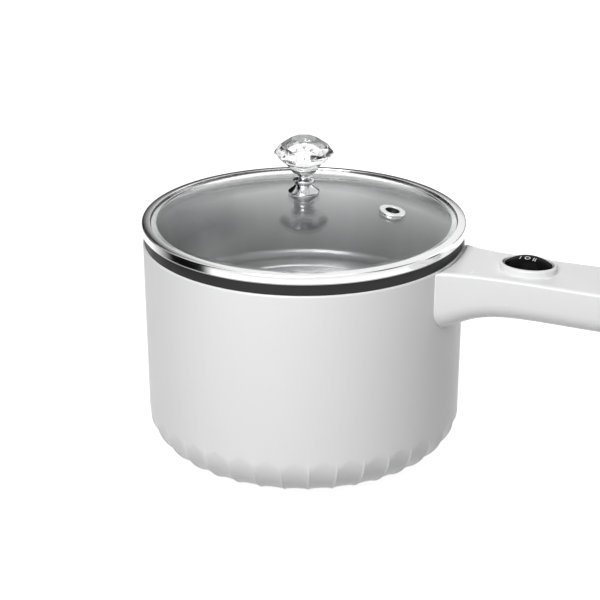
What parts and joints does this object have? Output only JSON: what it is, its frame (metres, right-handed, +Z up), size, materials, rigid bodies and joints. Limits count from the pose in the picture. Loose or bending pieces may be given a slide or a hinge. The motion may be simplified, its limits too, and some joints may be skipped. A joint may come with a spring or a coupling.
{
  "type": "electric hot pot with lid",
  "caption": "Small electric hot pot with a fluted double-wall body, steel inner pot, lift-off glass lid with a faceted knob, and a long handle with a rocker switch.",
  "frame": {"origin": "on the pot's axis, in the plane that the feet stand on", "axes": "+Z up along the pot axis, +X along the handle from the pot axis, +Y across the handle"},
  "size_m": [0.347, 0.19, 0.1924],
  "materials": {
    "body_white": "satin moulded white",
    "handle_white": "satin moulded white",
    "base_white": "matt moulded white",
    "foot_rubber": "matt",
    "rim_black": "matt heat-proof black",
    "pot_steel": "circular brushed",
    "band_steel": "polished",
    "knob_chrome": "mirror",
    "knob_clear": "clear, cut facets",
    "lid_clear": "clear tempered",
    "seal_clear": "translucent silicone",
    "heater_alloy": "as cast and rolled",
    "fixing_steel": "zinc plated",
    "ceramic_white": "glazed ceramic",
    "contact_brass": "plated",
    "switch_black": "gloss black",
    "housing_black": "moulded black",
    "wire_brown": "silicone sleeve",
    "wire_blue": "silicone sleeve",
    "wire_green": "silicone sleeve"
  },
  "bodies": {
    "pot": {"outer_shell": "body_white", "handle_shell": "handle_white", "handle_cover": "handle_white", "switch_bezel": "handle_white", "base_cover": "base_white", "base_feet": "foot_rubber", "rim_ring": "rim_black", "inner_pot": "pot_steel", "heating_plate": "heater_alloy", "heat_reflector": "heater_alloy", "base_screws": "fixing_steel", "handle_screws": "fixing_steel", "root_bracket": "fixing_steel", "root_screws": "fixing_steel", "tie_rods": "fixing_steel", "rod_nuts": "fixing_steel", "fuse_clip": "fixing_steel", "switch_axle": "fixing_steel", "heating_element": "fixing_steel", "element_insulators": "ceramic_white", "switch_terminals": "contact_brass", "inlet_pins": "contact_brass", "switch_body": "housing_black", "inlet_housing": "housing_black", "thermostat": "housing_black", "half_wave_diode": "housing_black", "thermal_fuse": "housing_black", "live_wire": "wire_brown", "switched_wire": "wire_brown", "fuse_wire": "wire_brown", "neutral_wire": "wire_blue", "earth_wire": "wire_green"},
    "lid": {"lid_glass": "lid_clear", "lid_band": "band_steel", "vent_grommet": "band_steel", "knob_seal": "seal_clear", "knob_stem": "knob_chrome", "knob_crystal": "knob_clear", "knob_washer": "band_steel", "knob_screw": "band_steel"},
    "rocker": {"switch_rocker": "switch_black"}
  },
  "joints": [
    {"name": "lid_lift", "type": "slide", "parent": "pot", "child": "lid", "axis": [0, 0, 1], "range_m": [0, 0.12]},
    {"name": "switch_rock", "type": "hinge", "parent": "pot", "child": "rocker", "pos_m": [0.137, 0, 0.129], "axis": [0, 1, 0], "range_deg": [-10, 10]}
  ]
}
